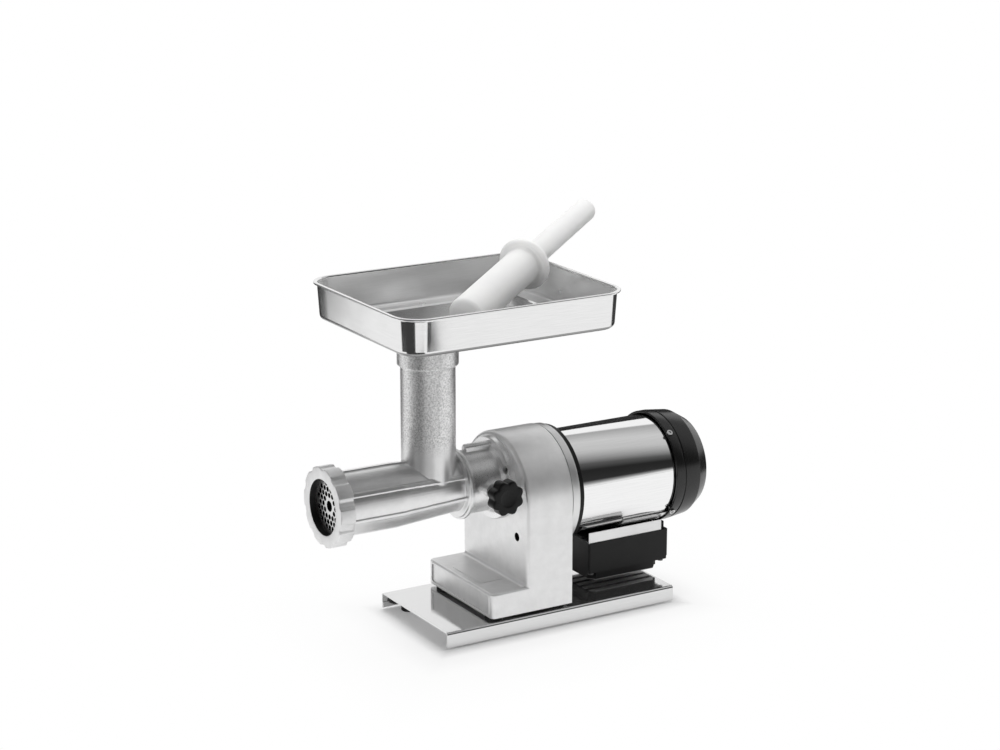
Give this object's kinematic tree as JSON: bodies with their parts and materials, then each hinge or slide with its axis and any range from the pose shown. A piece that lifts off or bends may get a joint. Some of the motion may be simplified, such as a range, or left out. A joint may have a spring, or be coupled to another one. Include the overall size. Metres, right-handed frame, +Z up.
{
  "type": "electric meat grinder",
  "caption": "Electric meat grinder: arched gear housing, tubular motor, clamped grinding head with perforated plate and ring nut, feed tray and pusher, on a folded base plate.",
  "frame": {"origin": "middle of the outer box on the table under the feet", "axes": "-X along the grinding head, out of the outlet; +Y away from the clamp knob; +Z up"},
  "size_m": [0.4942, 0.2658, 0.4594],
  "materials": {
    "polished_steel": "mirror polished",
    "cast_aluminium": "bead blasted",
    "plate_aluminium": "satin",
    "tinned_iron": "tinned casting",
    "blade_steel": "ground",
    "machine_steel": "turned",
    "electrical_steel": "laminated",
    "screw_steel": "zinc plated",
    "bracket_steel": "brushed",
    "winding_copper": "enamelled",
    "bush_bronze": "turned",
    "foot_rubber": "moulded",
    "knob_black": "gloss",
    "cover_black": "satin",
    "pusher_white": "satin, translucent"
  },
  "bodies": {
    "frame": {"base_plate": "polished_steel", "rubber_feet": "foot_rubber", "foot_studs": "screw_steel", "housing_pads": "foot_rubber", "housing_bolts": "screw_steel", "gear_housing": "cast_aluminium", "data_plate": "plate_aluminium", "head_socket": "cast_aluminium", "socket_screws": "screw_steel", "shaft_seal": "foot_rubber", "output_bearings": "machine_steel", "layshaft_bushes": "bush_bronze", "motor_flange": "cast_aluminium", "flange_screws": "screw_steel", "front_ring": "cover_black", "motor_tube": "polished_steel", "stator_core": "electrical_steel", "stator_windings": "winding_copper", "rear_bell": "cast_aluminium", "motor_bearings": "machine_steel", "fan_cover": "cover_black", "fan_cover_screws": "screw_steel", "motor_saddle": "bracket_steel", "motor_bracket": "bracket_steel", "bracket_cushion": "foot_rubber", "switch_box": "cover_black", "box_lid": "cover_black", "lid_screws": "screw_steel", "switch_bezel": "cover_black", "cable_gland": "cover_black", "capacitor": "cover_black", "terminal_block": "cover_black"},
    "motor_rotor": {"rotor_shaft": "machine_steel", "motor_pinion": "machine_steel", "rotor_core": "electrical_steel", "cooling_fan": "cover_black"},
    "lay_drive": {"layshaft": "machine_steel", "layshaft_gear": "machine_steel"},
    "output_drive": {"output_gear": "machine_steel", "output_shaft": "machine_steel"},
    "grinding_head": {"head_casting": "tinned_iron", "thrust_washer": "bush_bronze", "plate_key": "machine_steel"},
    "feed_screw": {"auger": "tinned_iron", "knife": "blade_steel"},
    "front_plate": {"mincing_plate": "blade_steel"},
    "front_nut": {"ring_nut": "tinned_iron"},
    "feed_tray": {"tray": "polished_steel"},
    "food_pusher": {"pusher": "pusher_white"},
    "clamp_screw": {"clamp_stud": "screw_steel"},
    "clamp_grip": {"clamp_knob": "knob_black"},
    "switch_rocker": {"rocker": "cover_black"}
  },
  "joints": [
    {"name": "rotor_spin", "type": "hinge", "parent": "frame", "child": "motor_rotor", "pos_m": [-0.02005, -0.00873, 0.1492], "axis": [1, 0, 0], "continuous": true},
    {"name": "layshaft_spin", "type": "hinge", "parent": "frame", "child": "lay_drive", "pos_m": [-0.02005, 0.0145, 0.12302], "axis": [1, 0, 0], "continuous": true},
    {"name": "output_spin", "type": "hinge", "parent": "frame", "child": "output_drive", "pos_m": [-0.02005, -0.00873, 0.1701], "axis": [1, 0, 0], "continuous": true},
    {"name": "head_pull", "type": "slide", "parent": "frame", "child": "grinding_head", "axis": [-1, 0, 0], "range_m": [0, 0.06]},
    {"name": "auger_spin", "type": "hinge", "parent": "grinding_head", "child": "feed_screw", "pos_m": [-0.02005, -0.00873, 0.1701], "axis": [1, 0, 0], "continuous": true},
    {"name": "plate_travel", "type": "slide", "parent": "grinding_head", "child": "front_plate", "axis": [-1, 0, 0], "range_m": [0, 0.012]},
    {"name": "nut_unscrew", "type": "hinge", "parent": "front_plate", "child": "front_nut", "pos_m": [-0.24705, -0.00873, 0.1701], "axis": [-1, 0, 0], "range_deg": [0, 1080]},
    {"name": "tray_lift", "type": "slide", "parent": "grinding_head", "child": "feed_tray", "axis": [0, 0, 1], "range_m": [0, 0.06]},
    {"name": "pusher_lift", "type": "slide", "parent": "feed_tray", "child": "food_pusher", "axis": [0, 0, 1], "range_m": [0, 0.15]},
    {"name": "clamp_travel", "type": "slide", "parent": "frame", "child": "clamp_screw", "axis": [0, -1, 0], "range_m": [0, 0.0025]},
    {"name": "knob_unscrew", "type": "hinge", "parent": "clamp_screw", "child": "clamp_grip", "pos_m": [-0.04955, -0.07472, 0.1701], "axis": [0, -1, 0], "range_deg": [0, 720]},
    {"name": "rocker_tilt", "type": "hinge", "parent": "frame", "child": "switch_rocker", "pos_m": [0.1447, 0.03027, 0.0617], "axis": [0, 0, 1], "range_deg": [0, 18]}
  ],
  "couplings": [
    {"joint": "layshaft_spin", "follows": "rotor_spin", "ratio": -0.25},
    {"joint": "output_spin", "follows": "rotor_spin", "ratio": 0.076087},
    {"joint": "auger_spin", "follows": "rotor_spin", "ratio": 0.076087},
    {"joint": "plate_travel", "follows": "nut_unscrew", "m_per_rad": 0.00063662},
    {"joint": "knob_unscrew", "follows": "clamp_travel", "rad_per_m": 5026.5}
  ]
}
